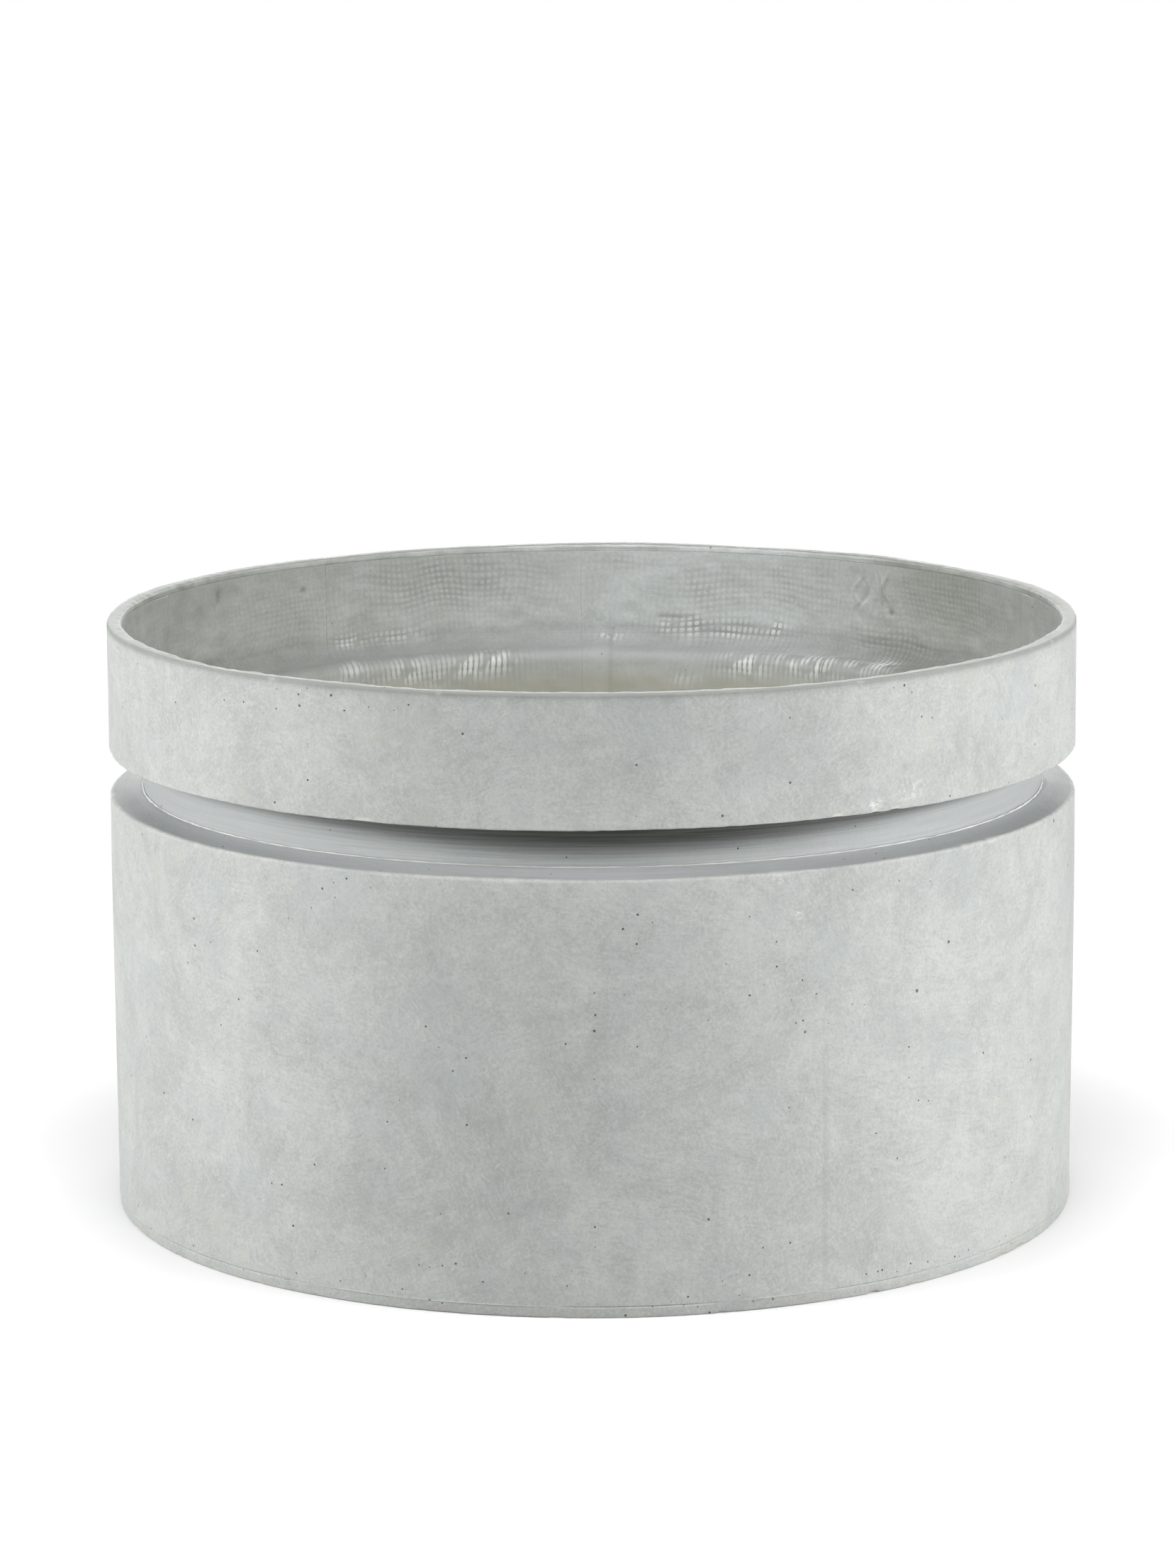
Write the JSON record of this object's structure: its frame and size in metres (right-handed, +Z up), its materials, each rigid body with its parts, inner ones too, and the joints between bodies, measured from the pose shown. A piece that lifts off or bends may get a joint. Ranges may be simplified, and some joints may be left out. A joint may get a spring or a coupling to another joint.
{
  "type": "floor planter",
  "caption": "Round drum planter of glass-cloth cement with a deep groove under a plain band, an open mouth and a drain hole closed by a bung.",
  "frame": {"origin": "centre of the foot ring, on the floor", "axes": "+Z up along the turning axis, -Y towards the picture's viewer, +X to that viewer's right"},
  "size_m": [0.8, 0.8, 0.488],
  "materials": {
    "cement": "matte",
    "grout": "matte",
    "glass_cloth": "satin",
    "rubber": "matte"
  },
  "bodies": {
    "pot": {"base_slab": "cement", "lower_drum": "cement", "upper_collar": "cement", "neck_grout": "grout", "collar_cloth_01": "glass_cloth", "collar_cloth_02": "glass_cloth", "collar_cloth_03": "glass_cloth", "collar_cloth_04": "glass_cloth", "collar_cloth_05": "glass_cloth", "collar_cloth_06": "glass_cloth", "collar_cloth_07": "glass_cloth", "collar_cloth_08": "glass_cloth", "collar_cloth_09": "glass_cloth", "collar_cloth_10": "glass_cloth", "drum_cloth_01": "glass_cloth", "drum_cloth_02": "glass_cloth", "drum_cloth_03": "glass_cloth", "drum_cloth_04": "glass_cloth", "drum_cloth_05": "glass_cloth", "drum_cloth_06": "glass_cloth", "drum_cloth_07": "glass_cloth", "drum_cloth_08": "glass_cloth", "drum_cloth_09": "glass_cloth", "drum_cloth_10": "glass_cloth", "floor_cloth": "glass_cloth"},
    "bung": {"drain_bung": "rubber"}
  },
  "joints": [
    {"name": "bung_lift", "type": "slide", "parent": "pot", "child": "bung", "axis": [0, 0, 1], "range_m": [0, 0.5]}
  ]
}
